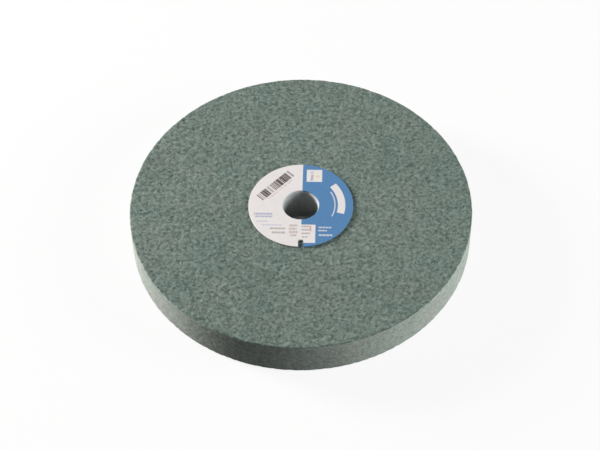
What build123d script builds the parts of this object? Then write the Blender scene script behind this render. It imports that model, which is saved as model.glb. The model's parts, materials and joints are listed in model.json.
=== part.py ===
from build123d import *
import os

# A straight grinding wheel for a bench grinder, lying flat, with +Z along its bore.
# Lengths are in millimetres. The origin is the centre of the bore at mid thickness.

# The disc of bonded abrasive grit.
wheel_diameter = 175.0
wheel_thickness = 20.0
wheel_edge_break = 0.4

# The moulded lining of the bore, set a little below both faces of the disc.
bore_diameter = 18.0
bush_wall = 3.5
bush_mouth_chamfer = 0.4
bush_face_setback = 0.1
bush_glue_gap = 0.05

# The card washers, one glued to each face, that spread the grip of the clamping flanges.
blotter_diameter = 53.5
blotter_thickness = 0.6
blotter_bore_clearance = 0.4

# The notch in the rim of the front washer, placed by its angle from +X towards +Y.
notch_width = 2.7
notch_depth = 4.4
notch_corner_radius = 0.6
notch_angle = 269.0


def ring_section(inner_radius, outer_radius, height):
    """The right half of a ring's cross section, centred on the height of the origin."""
    middle_radius = (inner_radius + outer_radius) / 2
    return Pos(middle_radius, 0) * Rectangle(outer_radius - inner_radius, height)


def spin(section):
    """The solid that a cross section sweeps as it turns once about the bore's axis."""
    return revolve(Plane.XZ * section, Axis.Z)


def make_abrasive_wheel():
    seat_radius = bore_diameter / 2 + bush_wall + bush_glue_gap
    section = ring_section(seat_radius, wheel_diameter / 2, wheel_thickness)
    rim_corners = section.vertices().group_by(Axis.X)[-1]
    return spin(chamfer(rim_corners, wheel_edge_break))


def make_bore_bush():
    bore_radius = bore_diameter / 2
    bush_length = wheel_thickness - 2 * bush_face_setback
    section = ring_section(bore_radius, bore_radius + bush_wall, bush_length)
    mouth_corners = section.vertices().group_by(Axis.X)[0]
    return spin(chamfer(mouth_corners, bush_mouth_chamfer))


def washer_outline():
    hole_radius = bore_diameter / 2 + blotter_bore_clearance
    return Circle(blotter_diameter / 2) - Circle(hole_radius)


def notch_outline():
    """A slot that runs out through the washer's rim, with its inner corners rounded."""
    rim_radius = blotter_diameter / 2
    slot = Pos(rim_radius, 0) * Rectangle(2 * notch_depth, notch_width)
    inner_corners = slot.vertices().group_by(Axis.X)[0]
    return Rot(0, 0, notch_angle) * fillet(inner_corners, notch_corner_radius)


def make_front_blotter():
    card = washer_outline() - notch_outline()
    return Pos(0, 0, wheel_thickness / 2) * extrude(card, blotter_thickness)


def make_rear_blotter():
    rear_face = -wheel_thickness / 2
    return Pos(0, 0, rear_face - blotter_thickness) * extrude(washer_outline(), blotter_thickness)


pieces = {
    "abrasive_wheel": make_abrasive_wheel(),
    "bore_bush": make_bore_bush(),
    "front_blotter": make_front_blotter(),
    "rear_blotter": make_rear_blotter(),
}

os.makedirs("parts", exist_ok=True)
for node, solid in pieces.items():
    export_step(solid, f"parts/{node}.step")
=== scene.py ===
import json
import math
import random

import bpy
from mathutils import Matrix, Vector, noise


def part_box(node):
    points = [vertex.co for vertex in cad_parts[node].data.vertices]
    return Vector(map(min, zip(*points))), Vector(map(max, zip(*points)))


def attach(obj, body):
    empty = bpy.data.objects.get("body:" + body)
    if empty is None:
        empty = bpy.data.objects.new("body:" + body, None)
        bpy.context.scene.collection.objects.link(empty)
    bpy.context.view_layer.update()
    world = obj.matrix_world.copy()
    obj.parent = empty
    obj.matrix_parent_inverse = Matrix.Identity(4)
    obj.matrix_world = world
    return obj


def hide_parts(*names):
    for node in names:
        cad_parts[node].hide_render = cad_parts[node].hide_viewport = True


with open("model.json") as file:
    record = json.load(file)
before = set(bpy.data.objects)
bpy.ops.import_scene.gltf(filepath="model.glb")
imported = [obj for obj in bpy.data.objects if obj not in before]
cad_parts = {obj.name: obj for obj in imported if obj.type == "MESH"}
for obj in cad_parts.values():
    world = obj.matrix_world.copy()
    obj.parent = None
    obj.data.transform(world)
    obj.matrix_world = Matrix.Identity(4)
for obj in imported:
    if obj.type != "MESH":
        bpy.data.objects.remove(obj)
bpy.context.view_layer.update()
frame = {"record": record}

MM = 0.001
random.seed(7)

# Sizes that the frame gives, in metres.
wheel_low, wheel_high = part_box("abrasive_wheel")
bush_low, bush_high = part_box("bore_bush")
front_low, front_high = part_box("front_blotter")
rear_low, rear_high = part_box("rear_blotter")
mounts = {mount["name"]: mount for mount in frame["record"]["mounts"]}
wheel_radius = wheel_high[0]
bush_radius = bush_high[0]
blotter_radius = front_high[0]
bore_radius = mounts["bore"]["dims"]["r_mm"] * MM

# Sizes of the solids that the frame does not give.
edge_break = 0.4 * MM
seat_radius = bush_radius + 0.05 * MM
mouth_chamfer = 0.4 * MM
blotter_hole_radius = bore_radius + 0.4 * MM
notch_width = 2.7 * MM
notch_depth = 4.4 * MM
notch_corner_radius = 0.6 * MM
notch_angle = math.radians(269.0)

# How fine the meshes are. The washers hide the faces of the disc within hidden_radius.
top_spacing = 0.75 * MM
rim_spacing = 0.76 * MM
rear_spacing = 1.0 * MM
hidden_spacing = 2.5 * MM
hidden_radius = 22.0 * MM
bush_spacing = 0.5 * MM
card_spacing = 0.8 * MM
notch_corner_steps = 4
fewest_ring_points = 24

# A fine bevel along the edges of the cards, which the solids do not have.
card_edge_break = 0.08 * MM

# The grain of the abrasive as a mesh: worn lumps, deeper pits, and chips along the edges.
lump_size, lump_depth = 2.0 * MM, 0.21 * MM
pit_size, pit_depth = 2.6 * MM, 0.26 * MM
chip_size, chip_depth = 2.2 * MM, 0.28 * MM
pit_range, pit_shift = (0.22, 0.6), Vector((17.0, 5.0, 9.0))
chip_range, chip_shift = (-0.1, 0.7), Vector((3.0, 31.0, 7.0))
chip_reach = 1.0 * MM
corner_reach = 1.5 * edge_break
jitter_depth = 0.12 * MM
rim_relief_share = 0.35


def link(name, mesh, material, node):
    """Puts a mesh in the scene as the piece that stands for a CAD node."""
    piece = bpy.data.objects.new(name, mesh)
    bpy.context.scene.collection.objects.link(piece)
    mesh.materials.append(material)
    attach(piece, "root")
    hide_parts(node)
    return piece


def shade_smooth(mesh):
    mesh.polygons.foreach_set("use_smooth", [True] * len(mesh.polygons))


def zip_rings(inner, outer):
    """Triangles between two rings, each given as (first vertex, count, turn)."""
    (first_a, count_a, turn_a), (first_b, count_b, turn_b) = inner, outer
    i = j = 0
    faces = []
    while i < count_a or j < count_b:
        next_a = turn_a + (i + 1) / count_a
        next_b = turn_b + (j + 1) / count_b
        here_a, here_b = first_a + i % count_a, first_b + j % count_b
        if j == count_b or (i < count_a and next_a <= next_b):
            i += 1
            faces.append((here_a, here_b, first_a + i % count_a))
        else:
            j += 1
            faces.append((here_a, here_b, first_b + j % count_b))
    return faces


def ringed_mesh(name, section):
    """A closed solid of revolution from (radius, height, spacing) rings, in even triangles."""
    points, rings = [], []
    for radius, height, spacing in section:
        count = max(fewest_ring_points, round(math.tau * radius / spacing))
        turn = random.random() / count
        rings.append((len(points), count, turn))
        for k in range(count):
            angle = math.tau * (turn + k / count)
            points.append((radius * math.cos(angle), radius * math.sin(angle), height))
    faces = []
    for inner, outer in zip(rings, rings[1:] + rings[:1]):
        faces += zip_rings(inner, outer)
    mesh = bpy.data.meshes.new(name)
    mesh.from_pydata(points, [], faces)
    return mesh


def steps(start, end, spacing):
    """Values from start up to, and without, end, one row of even triangles apart."""
    row_height = spacing * math.sin(math.radians(60))
    count = max(1, round(abs(end - start) / row_height))
    return [start + (end - start) * k / count for k in range(count)]


def wheel_section():
    """The rings of the disc: out over the top, down the rim, in under the rear, up the seat."""
    top, rear = wheel_high[2], wheel_low[2]
    face_radius = wheel_radius - edge_break
    shoulder = top - edge_break
    rings = [(r, top, hidden_spacing) for r in steps(seat_radius, hidden_radius, hidden_spacing)]
    rings += [(r, top, top_spacing) for r in steps(hidden_radius, face_radius, top_spacing)]
    rings += [(face_radius, top, top_spacing)]
    rings += [(wheel_radius, z, rim_spacing) for z in steps(shoulder, -shoulder, rim_spacing)]
    rings += [(wheel_radius, -shoulder, rim_spacing)]
    rings += [(r, rear, rear_spacing) for r in steps(face_radius, hidden_radius, rear_spacing)]
    rings += [(r, rear, hidden_spacing) for r in steps(hidden_radius, seat_radius, hidden_spacing)]
    rings += [(seat_radius, rear, hidden_spacing)]
    return rings


def smoothstep(low, high, value):
    """A smooth rise from 0 at low to 1 at high."""
    t = min(1.0, max(0.0, (value - low) / (high - low)))
    return t * t * (3 - 2 * t)


def grain_depth(point):
    """How far the worn face lies below the tips of the highest grains at a point."""
    lump = noise.noise(point / lump_size)
    pit = noise.noise(point / pit_size + pit_shift)
    depth = lump_depth * min(1.0, max(0.0, 0.5 - lump))
    return depth + pit_depth * smoothstep(*pit_range, pit) + jitter_depth * random.random()


def roughen(mesh):
    """Sinks each vertex by the grain's relief, and breaks grains away along both edges."""
    top = wheel_high[2]
    for vertex in mesh.vertices:
        x, y, z = vertex.co
        radius = math.hypot(x, y)
        if radius < hidden_radius:
            continue
        outward = Vector((x / radius, y / radius, 0))
        upward = Vector((0, 0, math.copysign(1, z)))
        from_rim, from_face = wheel_radius - radius, top - abs(z)
        on_rim = from_rim < from_face
        normal = outward if on_rim else upward
        if from_rim + from_face < corner_reach:
            normal = (outward + upward).normalized()
        share = rim_relief_share if on_rim else 1.0
        offset = normal * -share * grain_depth(vertex.co)
        near_corner = 1 - smoothstep(0, chip_reach, from_rim + from_face)
        chip = smoothstep(*chip_range, noise.noise(vertex.co / chip_size + chip_shift))
        offset -= (outward + upward) * (chip_depth * near_corner * chip / math.sqrt(2))
        vertex.co += offset


def srgb(red, green, blue):
    """A linear RGBA colour from display values of 0 to 255."""
    def linear(value):
        value /= 255
        return value / 12.92 if value <= 0.04045 else ((value + 0.055) / 1.055) ** 2.4
    return (linear(red), linear(green), linear(blue), 1.0)


def add(tree, kind, inputs=(), **settings):
    """Adds a shader node with its options and inputs, and returns it."""
    made = tree.nodes.new("ShaderNode" + kind)
    for name, value in settings.items():
        setattr(made, name, value)
    for key, value in dict(inputs).items():
        if isinstance(value, bpy.types.NodeSocket):
            tree.links.new(value, made.inputs[key])
        else:
            made.inputs[key].default_value = value
    return made


def calc(tree, operation, a, b=0.0):
    """The output of a Math node."""
    return add(tree, "Math", {0: a, 1: b}, operation=operation).outputs[0]


def blend(tree, factor, first, second, mode="MIX"):
    """The output of a colour Mix node."""
    inputs = {"Factor": factor, 6: first, 7: second}
    return add(tree, "Mix", inputs, data_type="RGBA", blend_type=mode).outputs[2]


def remap(tree, value, low, high, new_low=0.0, new_high=1.0, kind="SMOOTHSTEP"):
    """The output of a clamped Map Range node."""
    inputs = {0: value, 1: low, 2: high, 3: new_low, 4: new_high}
    return add(tree, "MapRange", inputs, interpolation_type=kind).outputs[0]


def coordinates(tree, place):
    """The x, y and z of a place."""
    return tuple(add(tree, "SeparateXYZ", {0: place}).outputs)


def length_of(tree, x, y):
    """The distance of a point in a plane from that plane's origin."""
    point = add(tree, "CombineXYZ", {0: x, 1: y}).outputs[0]
    return add(tree, "VectorMath", {0: point}, operation="LENGTH").outputs["Value"]


def noise_at(tree, place, size, detail=2.0, roughness=0.5):
    """A noise value whose lumps are about one size across."""
    inputs = {"Vector": place, "Scale": 1 / size, "Detail": detail, "Roughness": roughness}
    return add(tree, "TexNoise", inputs).outputs[0]


def mottle_at(tree, place, size, low=0.0, high=1.0, detail=2.0, roughness=0.5):
    """Soft patches about one size across, with values from low to high."""
    value = noise_at(tree, place, size, detail, roughness)
    return remap(tree, value, 0.3, 0.7, low, high)


def cells_at(tree, place, size):
    """Cells about one size across: the distance from a cell's middle, and its 3 random values."""
    cells = add(tree, "TexVoronoi", {"Vector": place, "Scale": 1 / size})
    values = add(tree, "SeparateColor", {0: cells.outputs["Color"]}).outputs
    return cells.outputs["Distance"], values[0], values[1], values[2]


def new_material(name):
    """A material, its node tree, its Principled shader and its place in the row frame."""
    material = bpy.data.materials.new(name)
    material.use_nodes = True
    tree = material.node_tree
    shader = tree.nodes["Principled BSDF"]
    place = add(tree, "TexCoord").outputs["Object"]
    return material, tree, shader, place


def feed(tree, shader, **inputs):
    """Links or sets inputs of a shader, by name with _ for a space."""
    for key, value in inputs.items():
        socket = shader.inputs[key.replace("_", " ")]
        if isinstance(value, bpy.types.NodeSocket):
            tree.links.new(value, socket)
        else:
            socket.default_value = value


def abrasive_material():
    """Bonded green grit with pale and dark flecks, and a paler rim that is partly its own cut
    finish and partly painted light.
    """
    blotch_size, grain_size, fleck_size, grit_size = 1.9 * MM, 1.15 * MM, 0.55 * MM, 0.5 * MM
    patch_size, stain_size = 30 * MM, 17 * MM
    grain_share, fleck_share = 0.5, 0.26
    rim_fade = (wheel_radius - 1.4 * MM, wheel_radius - 0.9 * MM)
    face_fade = (wheel_high[2] - 0.25 * MM, wheel_high[2] - 0.7 * MM)
    face_bump, rim_bump, bump_height = 0.7, 0.3, 0.25 * MM
    face_dark, face_pale = srgb(71, 88, 80), srgb(139, 156, 148)
    # The rim's tones are painted paler and a little less green than the face's: partly the cut
    # rim's own finish, partly painted light from the low side lamps and a painted sheen.
    rim_dark_with_painted_light, rim_pale_with_painted_light = srgb(132, 141, 134), srgb(176, 186, 178)
    fleck_dark, fleck_pale = srgb(41, 50, 45), srgb(165, 177, 170)
    material, tree, shader, place = new_material("abrasive")

    x, y, z = coordinates(tree, place)
    near_rim = remap(tree, length_of(tree, x, y), *rim_fade)
    below_face = remap(tree, calc(tree, "ABSOLUTE", z), *face_fade)
    on_rim = calc(tree, "MULTIPLY", near_rim, below_face)

    speckle = noise_at(tree, place, blotch_size, detail=1.5, roughness=0.6)
    blotch = remap(tree, speckle, 0.26, 0.74, 0.0, 1 - grain_share, kind="LINEAR")
    grain = cells_at(tree, place, grain_size)[1]
    tone = calc(tree, "ADD", blotch, calc(tree, "MULTIPLY", grain, grain_share))
    face = blend(tree, tone, face_dark, face_pale)
    # The rim's colour carries painted light and painted sheen on top of its own tone.
    rim = blend(tree, tone, rim_dark_with_painted_light, rim_pale_with_painted_light)
    colour = blend(tree, on_rim, face, rim)

    from_middle, pale_pick, dark_pick, gloss_pick = cells_at(tree, place, fleck_size)
    pale = remap(tree, pale_pick, 0.86, 0.98, 0.0, fleck_share)
    dark = remap(tree, dark_pick, 0.84, 0.96, 0.0, fleck_share)
    colour = blend(tree, pale, colour, fleck_pale)
    colour = blend(tree, dark, colour, fleck_dark)

    patches = mottle_at(tree, place, patch_size, 0.96, 1.04)
    stains = mottle_at(tree, place, stain_size, 0.965, 1.03, detail=3.0)
    red_share = calc(tree, "MULTIPLY", patches, stains)
    shade = add(tree, "CombineColor", {0: red_share, 1: patches, 2: patches}).outputs[0]
    colour = blend(tree, 1.0, colour, shade, "MULTIPLY")

    fine = noise_at(tree, place, grit_size, roughness=0.65)
    grit = calc(tree, "ADD", fine, calc(tree, "MULTIPLY", from_middle, -0.6))
    strength = remap(tree, on_rim, 0.0, 1.0, face_bump, rim_bump)
    bump = add(tree, "Bump", {"Strength": strength, "Distance": bump_height, "Height": grit})
    roughness = remap(tree, gloss_pick, 0.2, 0.9, 0.6, 0.95)
    feed(tree, shader, Base_Color=colour, Roughness=roughness, Normal=bump.outputs[0])
    feed(tree, shader, IOR=1.4, Specular_IOR_Level=0.12)
    return material


def bush_material():
    """Pale moulded plastic, faintly mottled and matt."""
    material, tree, shader, place = new_material("bush_plastic")
    mottle = mottle_at(tree, place, 3.0 * MM, detail=4.0)
    colour = blend(tree, mottle, srgb(170, 174, 173), srgb(182, 186, 185))
    fine = noise_at(tree, place, 0.3 * MM, detail=3.0)
    bump = add(tree, "Bump", {"Strength": 0.2, "Distance": 0.05 * MM, "Height": fine})
    feed(tree, shader, Base_Color=colour, Normal=bump.outputs[0])
    feed(tree, shader, Roughness=0.55, Specular_IOR_Level=0.25)
    return material


def print_axes(tree, print_place, centre, turn=0.0):
    """Millimetres along and across a piece of print, from its centre, turned by some degrees."""
    inputs = {
        "Vector": print_place,
        "Location": (centre[0] * MM, centre[1] * MM, 0),
        "Rotation": (0, 0, math.radians(turn)),
        "Scale": (MM, MM, MM),
    }
    local = add(tree, "Mapping", inputs, vector_type="TEXTURE").outputs[0]
    return coordinates(tree, local)[:2]


def within(tree, value, middle, reach):
    """1 where a value is no further than reach from middle, and 0 elsewhere."""
    return add(tree, "Math", {0: value, 1: middle, 2: reach}, operation="COMPARE").outputs[0]


def between(tree, value, low, high):
    """1 where a value lies between two others, and 0 elsewhere."""
    return within(tree, value, (low + high) / 2, (high - low) / 2)


def both(tree, first, second):
    """1 where two masks are 1, and 0 elsewhere."""
    return calc(tree, "MULTIPLY", first, second)


def in_box(tree, along, across, size):
    """1 inside a rectangle about the origin of two axes."""
    return both(tree, within(tree, along, 0.0, size[0] / 2), within(tree, across, 0.0, size[1] / 2))


def rectangle(tree, print_place, centre, size, turn=0.0):
    """1 inside a rectangle of the print."""
    along, across = print_axes(tree, print_place, centre, turn)
    return in_box(tree, along, across, size)


def disc(tree, print_place, centre, radius):
    """1 inside a disc of the print."""
    along, across = print_axes(tree, print_place, centre)
    return calc(tree, "LESS_THAN", length_of(tree, along, across), radius)


def arc_band(tree, print_place, radii, angles):
    """A curved band about the bore, between two radii in millimetres and two angles in degrees."""
    along, across = print_axes(tree, print_place, (0, 0))
    in_radii = between(tree, length_of(tree, along, across), *radii)
    angle = calc(tree, "ARCTAN2", across, along)
    return both(tree, in_radii, between(tree, angle, *(math.radians(value) for value in angles)))


def broken_bar(tree, print_place, centre, size, seed):
    """1 inside a bar that gaps break into uneven lengths."""
    lengths_per_mm, gap_reach = 0.55, 0.06
    along, across = print_axes(tree, print_place, centre)
    inputs = {"W": calc(tree, "ADD", along, seed), "Scale": lengths_per_mm, "Randomness": 1.0}
    gaps = add(tree, "TexVoronoi", inputs, voronoi_dimensions="1D", feature="DISTANCE_TO_EDGE")
    off_gaps = calc(tree, "GREATER_THAN", gaps.outputs["Distance"], gap_reach)
    return both(tree, in_box(tree, along, across, size), off_gaps)


def bar_code(tree, print_place, centre, turn, height, groups, pitch):
    """Uneven bars at an even pitch, in groups of (start, end, inked share) along the code."""
    unevenness = 0.5
    along, across = print_axes(tree, print_place, centre, turn)
    bars = calc(tree, "DIVIDE", along, pitch)
    number = calc(tree, "FLOOR", bars)
    chance = add(tree, "TexWhiteNoise", {"W": number}, noise_dimensions="1D").outputs["Value"]
    spread = calc(tree, "MULTIPLY", chance, unevenness)
    reach = calc(tree, "SUBTRACT", calc(tree, "FRACT", bars), spread)
    inked = 0.0
    for start, end, share in groups:
        bar = calc(tree, "LESS_THAN", reach, share - unevenness / 2)
        inked = calc(tree, "ADD", inked, both(tree, between(tree, along, start, end), bar))
    return both(tree, inked, within(tree, across, 0.0, height / 2))


def card_fibre(tree, place):
    """The mottle of pressed card fibres, from 0 to 1."""
    return mottle_at(tree, place, 0.8 * MM, detail=4.0, roughness=0.7)


def finish_card(tree, shader, fibre, colour, roughness):
    """Gives a card its colour, its gloss and a fine bump from its fibres."""
    bump = add(tree, "Bump", {"Strength": 0.25, "Distance": 0.06 * MM, "Height": fibre})
    feed(tree, shader, Base_Color=colour, Normal=bump.outputs[0], Roughness=roughness)


def printed_card_material():
    """Card with plain print, laid out in millimetres from the bore: half paper and half blue."""
    material, tree, shader, place = new_material("printed_card")
    print_turn = math.radians(2.4)
    print_place = add(tree, "Mapping", {"Vector": place, "Rotation": (0, 0, print_turn)}).outputs[0]
    fibre = card_fibre(tree, place)
    cloud = mottle_at(tree, place, 9 * MM)
    paper = blend(tree, fibre, srgb(221, 219, 219), srgb(229, 228, 228))
    paper = blend(tree, calc(tree, "MULTIPLY", cloud, 0.5), paper, srgb(230, 229, 224))
    blue = blend(tree, fibre, srgb(71, 121, 168), srgb(81, 130, 176))
    dark_ink, grey_ink = srgb(80, 70, 70), srgb(182, 177, 176)
    lavender_ink, slate_ink = srgb(200, 200, 214), srgb(176, 180, 201)
    pink_ink, red_ink = srgb(197, 185, 182), srgb(214, 160, 165)
    soft_yellow, soft_pink = srgb(232, 228, 205), srgb(226, 208, 212)

    blue_starts_at = (0.6, 0)
    past_split = print_axes(tree, print_place, blue_starts_at)[0]
    colour = blend(tree, calc(tree, "GREATER_THAN", past_split, 0.0), paper, blue)

    def ink(mask, tone, strength=1.0):
        nonlocal colour
        share = calc(tree, "MULTIPLY", mask, strength) if strength < 1 else mask
        colour = blend(tree, share, colour, tone)

    def broken_bars(bars, tone, strength=1.0):
        """Inks bars, each given as (x, y, length, height), with gaps that differ by their y."""
        for x, y, length, height in bars:
            bar = broken_bar(tree, print_place, (x, y), (length, height), seed=11.0 * y)
            ink(bar, tone, strength)

    # The white square at the top of the blue half, with plain shapes on it.
    ring_centre = (8.3, 18.9)
    ink(rectangle(tree, print_place, (6.6, 19.3), (8.0, 8.0)), paper)
    ink(rectangle(tree, print_place, (5.4, 18.0), (1.3, 4.0), turn=-8), slate_ink)
    ink(disc(tree, print_place, (5.3, 21.4), 0.95), lavender_ink)
    ink(disc(tree, print_place, ring_centre, 2.1), soft_yellow)
    ink(disc(tree, print_place, ring_centre, 1.0), soft_pink)

    # The white panel beside the notch.
    ink(rectangle(tree, print_place, (4.2, -18.5), (7.3, 11.6)), paper)
    broken_bars(((3.0, -13.9, 4.6, 1.1), (3.0, -16.0, 4.8, 1.1)), grey_ink)
    broken_bars(((3.0, -18.3, 4.6, 1.0), (2.6, -20.6, 3.0, 0.9)), grey_ink)
    ink(rectangle(tree, print_place, (5.3, -15.2), (0.9, 3.4)), red_ink)

    # The broken bars on the paper half, and the pale ones on the blue.
    broken_bars(((-19.0, -6.1, 9.4, 1.3), (-18.6, -7.8, 8.8, 1.1)), slate_ink)
    broken_bars(((-19.6, -10.9, 5.8, 0.9), (-14.2, -13.2, 10.4, 0.9)), lavender_ink)
    broken_bars(((-11.4, -15.4, 8.0, 1.2), (-10.8, -18.0, 6.8, 1.3)), grey_ink)
    broken_bars(((-3.4, -13.4, 4.2, 1.5), (-3.6, -15.5, 4.0, 1.4)), pink_ink)
    broken_bars(((-3.2, -17.6, 4.4, 1.5), (-3.2, -19.6, 3.0, 1.3)), pink_ink)
    pale_bars = ((12.5, -14.4, 6.6, 0.9), (11.5, -16.4, 4.6, 0.9), (13.0, -19.3, 7.4, 1.1))
    broken_bars(pale_bars, paper, 0.7)

    # The two arcs along the edge of the blue half.
    ink(arc_band(tree, print_place, (19.0, 22.8), (-14, 39)), paper)
    ink(arc_band(tree, print_place, (17.2, 17.8), (-24, 30)), paper, 0.8)

    # The bar code, and the fine line under it.
    code_turn = 47.0
    code_groups = ((-12.4, -9.8, 0.5), (-9.5, -5.7, 0.95), (-5.0, -3.6, 0.45))
    code_groups += ((-2.8, 8.8, 0.8), (9.4, 11.2, 0.4))
    line_groups = ((-9.5, 8.0, 0.5),)
    ink(bar_code(tree, print_place, (-12.9, 13.0), code_turn, 4.9, code_groups, 0.75), dark_ink)
    ink(bar_code(tree, print_place, (-10.2, 10.6), code_turn, 0.9, line_groups, 0.9), pink_ink)

    finish_card(tree, shader, fibre, colour, roughness=0.6)
    return material


def plain_card_material():
    """Unprinted card of a slightly browner white."""
    material, tree, shader, place = new_material("plain_card")
    fibre = card_fibre(tree, place)
    colour = blend(tree, fibre, srgb(214, 208, 198), srgb(226, 221, 212))
    finish_card(tree, shader, fibre, colour, roughness=0.75)
    return material


def make_wheel():
    mesh = ringed_mesh("abrasive_disc", wheel_section())
    roughen(mesh)
    shade_smooth(mesh)
    link("abrasive_disc", mesh, abrasive_material(), "abrasive_wheel")


def make_bush():
    top, rear = bush_high[2], bush_low[2]
    mouth = bore_radius + mouth_chamfer
    rings = [(mouth, top), (bush_radius, top), (bush_radius, rear), (mouth, rear)]
    rings += [(bore_radius, rear + mouth_chamfer), (bore_radius, top - mouth_chamfer)]
    mesh = ringed_mesh("bore_lining", [(r, z, bush_spacing) for r, z in rings])
    link("bore_lining", mesh, bush_material(), "bore_bush")


def washer_mesh(name, low, high):
    """A card washer between two heights, with its edges slightly bevelled."""
    inner, outer, edge = blotter_hole_radius, blotter_radius, card_edge_break
    rings = [(inner, high - edge)]
    rings += [(r, high) for r in steps(inner + edge, outer - edge, card_spacing)]
    rings += [(outer - edge, high), (outer, high - edge), (outer, low + edge)]
    rings += [(r, low) for r in steps(outer - edge, inner + edge, card_spacing)]
    rings += [(inner + edge, low), (inner, low + edge)]
    return ringed_mesh(name, [(r, z, card_spacing) for r, z in rings])


def notch_cutter():
    """A prism through the front washer, with the plan of its notch."""
    outer, inner = blotter_radius + notch_depth, blotter_radius - notch_depth
    half = notch_width / 2
    plan = [(outer, -half), (outer, half)]
    for side in (1, -1):
        for k in range(notch_corner_steps + 1):
            turn = math.radians(90 * k / notch_corner_steps)
            along, across = 1 - math.sin(turn), 1 - math.cos(turn)
            if side < 0:
                along, across = across, along
            from_middle = half - notch_corner_radius * across
            plan.append((inner + notch_corner_radius * along, side * from_middle))
    low, high = front_low[2] - MM, front_high[2] + MM
    turned = Matrix.Rotation(notch_angle, 3, "Z")
    points = [turned @ Vector((x, y, z)) for z in (low, high) for x, y in plan]
    count = len(plan)
    faces = [tuple(reversed(range(count))), tuple(range(count, 2 * count))]
    faces += [(k, (k + 1) % count, (k + 1) % count + count, k + count) for k in range(count)]
    mesh = bpy.data.meshes.new("notch_cutter")
    mesh.from_pydata(points, [], faces)
    return bpy.data.objects.new("notch_cutter", mesh)


def make_front_blotter():
    mesh = washer_mesh("printed_washer", front_low[2], front_high[2])
    material = printed_card_material()
    washer = link("printed_washer", mesh, material, "front_blotter")
    cutter = notch_cutter()
    bpy.context.scene.collection.objects.link(cutter)
    cut = washer.modifiers.new("notch", "BOOLEAN")
    cut.object, cut.operation, cut.solver = cutter, "DIFFERENCE", "EXACT"
    bpy.context.view_layer.update()
    shaped = washer.evaluated_get(bpy.context.evaluated_depsgraph_get())
    notched = bpy.data.meshes.new_from_object(shaped)
    washer.modifiers.remove(cut)
    washer.data = notched
    bpy.data.objects.remove(cutter)


def make_rear_blotter():
    mesh = washer_mesh("plain_washer", rear_low[2], rear_high[2])
    link("plain_washer", mesh, plain_card_material(), "rear_blotter")


def seen_rays(tree):
    """Two masks: the camera's own rays, and those with mirrored and refracted rays added."""
    path = add(tree, "LightPath").outputs
    mirrored = calc(tree, "MAXIMUM", path["Is Glossy Ray"], path["Is Transmission Ray"])
    return path["Is Camera Ray"], calc(tree, "MAXIMUM", path["Is Camera Ray"], mirrored)


def make_floor():
    """A pale floor that shows almost white around the wheel, with a faint shadow."""
    reach, level = 4.0, rear_low[2]
    white_share, shaded_margin = 0.9, 4 * MM
    seen_grey, bounced_grey = srgb(235, 235, 235), srgb(100, 100, 100)
    plan = ((-1, -1), (1, -1), (1, 1), (-1, 1))
    mesh = bpy.data.meshes.new("floor")
    mesh.from_pydata([(reach * x, reach * y, level) for x, y in plan], [], [(0, 1, 2, 3)])
    floor = bpy.data.objects.new("floor", mesh)
    bpy.context.scene.collection.objects.link(floor)

    material, tree, shader, place = new_material("floor")
    by_camera, seen = seen_rays(tree)
    colour = blend(tree, by_camera, bounced_grey, seen_grey)
    feed(tree, shader, Base_Color=colour, Roughness=0.9)
    x, y = coordinates(tree, place)[:2]
    open_floor = remap(tree, length_of(tree, x, y), wheel_radius - shaded_margin, wheel_radius)
    share = calc(tree, "MULTIPLY", calc(tree, "MULTIPLY", seen, white_share), open_floor)
    white = add(tree, "Emission", {"Color": (1, 1, 1, 1), "Strength": 1.0})
    mixed = add(tree, "MixShader", {0: share, 1: shader.outputs[0], 2: white.outputs[0]})
    tree.links.new(mixed.outputs[0], tree.nodes["Material Output"].inputs["Surface"])
    mesh.materials.append(material)


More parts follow.
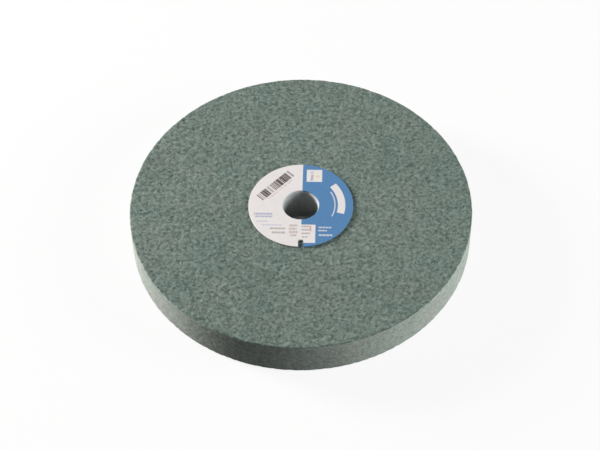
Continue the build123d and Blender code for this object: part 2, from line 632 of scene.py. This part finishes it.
def softbox(name, azimuth, elevation, distance, size, watts, colour=(1, 1, 1)):
    """A square area lamp that faces the wheel, at an azimuth from +X towards +Y."""
    lamp = bpy.data.lights.new(name, "AREA")
    lamp.size, lamp.energy, lamp.color = size, watts, colour
    holder = bpy.data.objects.new(name, lamp)
    bpy.context.scene.collection.objects.link(holder)
    a, e = math.radians(azimuth), math.radians(elevation)
    place = Vector((math.cos(a) * math.cos(e), math.sin(a) * math.cos(e), math.sin(e)))
    holder.location = place * distance
    holder.rotation_euler = place.to_track_quat("Z", "Y").to_euler()


def make_lamps():
    """Two low lamps, one from each side: the left one is smaller, stronger and warmer."""
    distance = 1.4
    warm = (1.0, 0.94, 0.93)
    softbox("left_softbox", 157, 17, distance, size=0.35, watts=42, colour=warm)
    softbox("right_softbox", 350, 16, distance, size=0.7, watts=22)


def make_world():
    """A background that looks white, and gives the wheel only a weak fill."""
    fill_level = 0.1
    world = bpy.data.worlds.new("studio")
    bpy.context.scene.world = world
    world.use_nodes = True
    tree = world.node_tree
    background = tree.nodes["Background"]
    background.inputs["Color"].default_value = (1, 1, 1, 1)
    level = calc(tree, "MAXIMUM", seen_rays(tree)[1], fill_level)
    tree.links.new(level, background.inputs["Strength"])


def make_camera():
    """The photograph's view: the centre of the top face falls at the named pixel."""
    image_width, image_height = 600, 450
    focal_pixels = 1770.6
    centre_pixel = (300.76, 205.6)
    elevation = math.radians(51.54)
    roll = math.radians(-1.1)
    distance = 10.345 * wheel_radius
    camera = bpy.data.cameras.new("camera")
    camera.sensor_width = 36.0
    camera.lens = focal_pixels / image_width * camera.sensor_width
    camera.clip_start, camera.clip_end = 0.01, 50.0
    holder = bpy.data.objects.new("camera", camera)
    bpy.context.scene.collection.objects.link(holder)
    back = Vector((0, -math.cos(elevation), math.sin(elevation)))
    turn_right = math.atan((image_width / 2 - centre_pixel[0]) / focal_pixels)
    turn_up = math.atan((centre_pixel[1] - image_height / 2) / focal_pixels)
    aim = back.to_track_quat("Z", "Y").to_matrix()
    aim = aim @ Matrix.Rotation(roll, 3, "Z")
    aim = aim @ Matrix.Rotation(turn_up, 3, "X") @ Matrix.Rotation(-turn_right, 3, "Y")
    target = Vector((0, 0, wheel_high[2]))
    holder.matrix_world = Matrix.Translation(target + back * distance) @ aim.to_4x4()
    bpy.context.scene.camera = holder


make_camera()
make_wheel()
make_bush()
make_front_blotter()
make_rear_blotter()
make_floor()
make_lamps()
make_world()
bpy.context.scene.view_settings.view_transform = "Standard"
